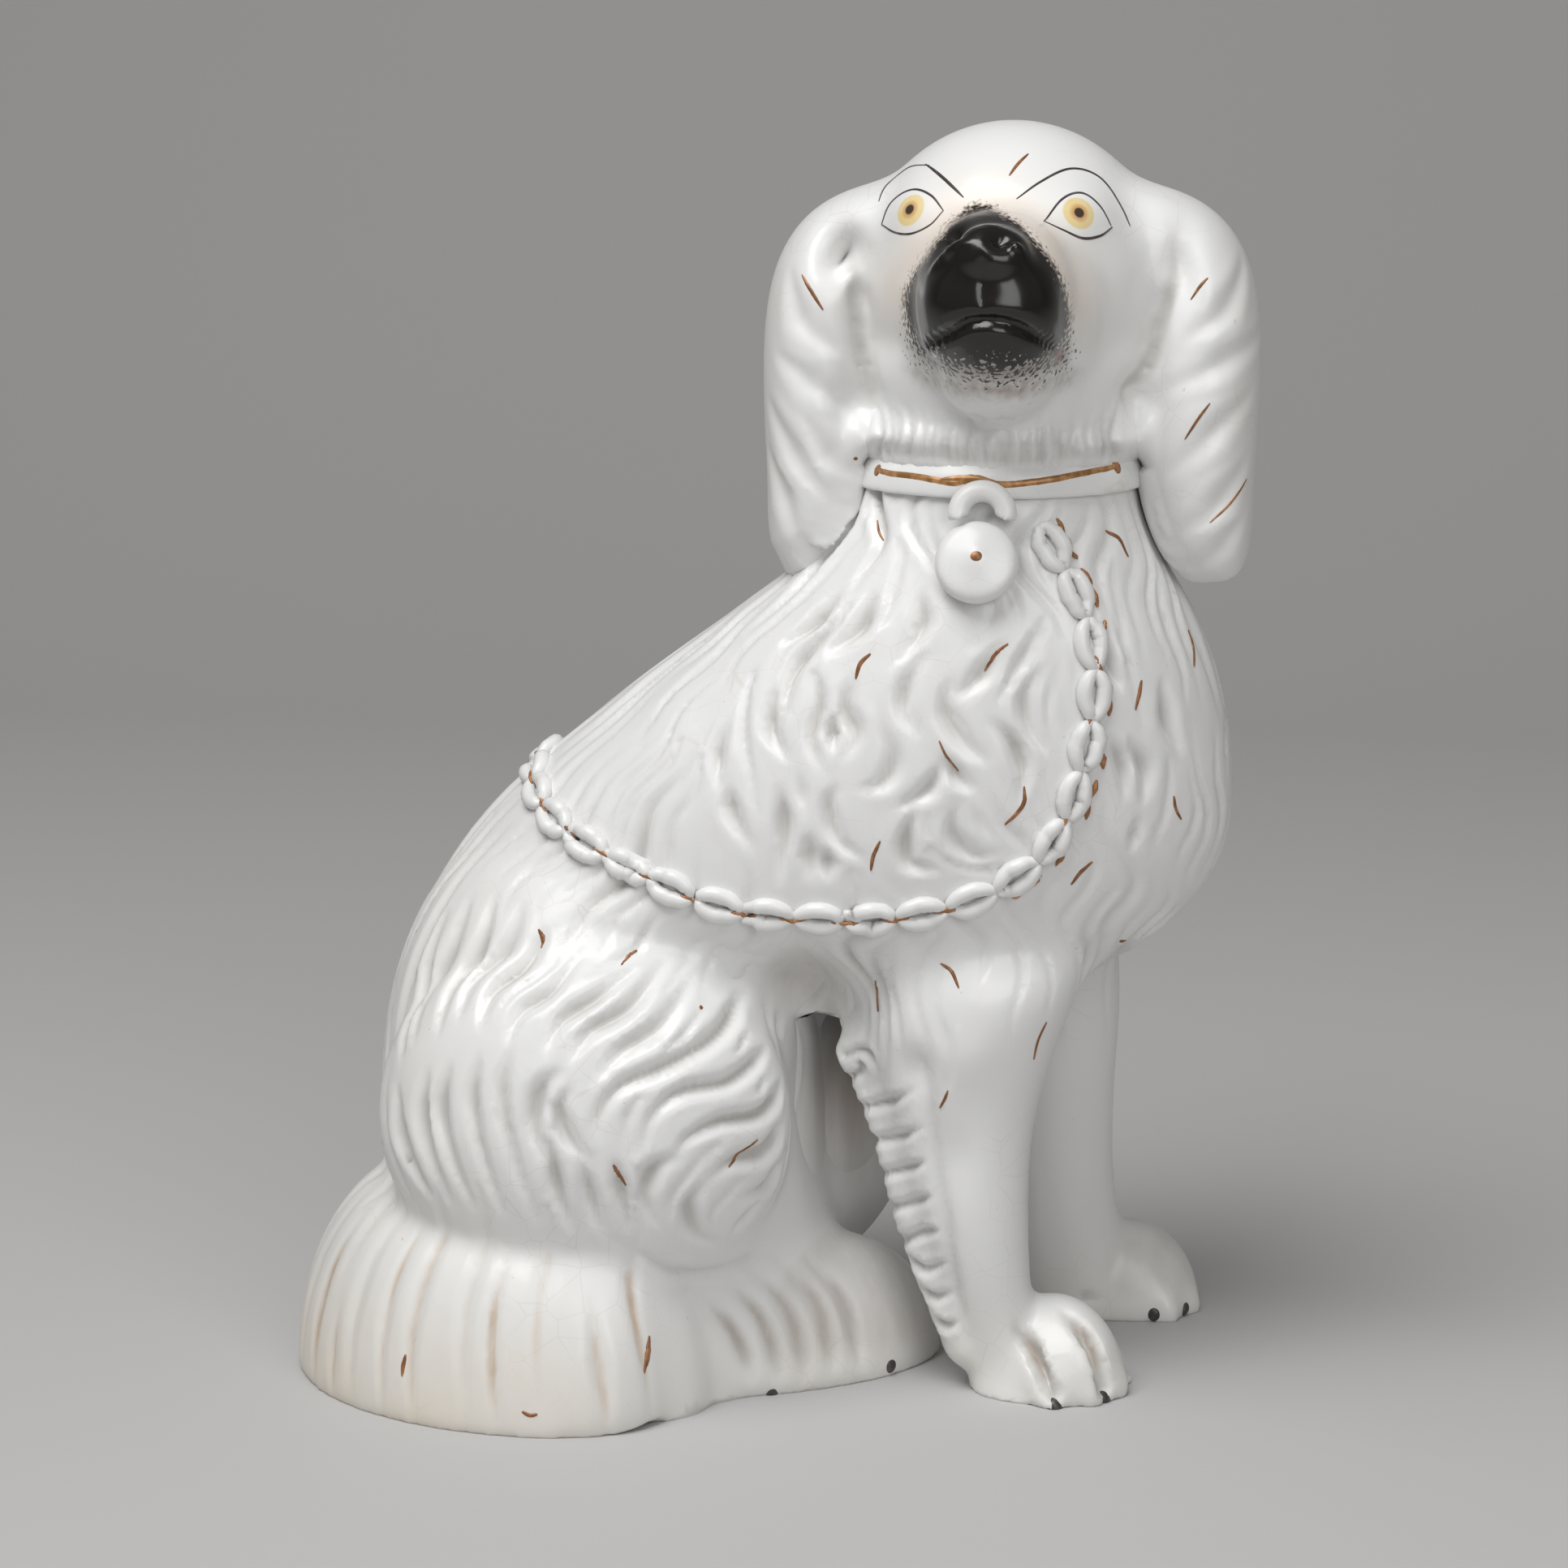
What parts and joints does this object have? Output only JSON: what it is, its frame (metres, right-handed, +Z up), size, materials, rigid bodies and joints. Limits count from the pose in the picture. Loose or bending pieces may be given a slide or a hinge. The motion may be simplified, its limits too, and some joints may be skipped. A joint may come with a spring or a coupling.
{
  "type": "staffordshire dog figure",
  "caption": "Seated spaniel mantelpiece figure in glazed earthenware with separate forelegs, padlocked collar and chain in relief, hollow, standing on a flat base.",
  "frame": {"origin": "on the underside of the base slab, below the belly between haunch and forelegs", "axes": "+Z up from the table, +X from the tail to the chest, -Y to the shown side that the face looks at"},
  "size_m": [0.2534, 0.1501, 0.33],
  "materials": {
    "white_glaze": "clear gloss lead glaze on white earthenware",
    "cream_glaze": "clear gloss glaze over ochre-tinted earthenware",
    "bare_clay": "wiped biscuit earthenware"
  },
  "bodies": {
    "root": {"front_body_shell": "white_glaze", "back_body_shell": "white_glaze", "face_shell": "white_glaze", "back_head_shell": "white_glaze", "right_ear": "white_glaze", "left_ear": "white_glaze", "right_foreleg": "white_glaze", "left_foreleg": "white_glaze", "right_hind_paw": "cream_glaze", "tail": "cream_glaze", "base_slab": "bare_clay", "collar": "white_glaze", "padlock_case": "white_glaze", "padlock_shackle": "white_glaze", "chain_links": "white_glaze"}
  },
  "joints": []
}
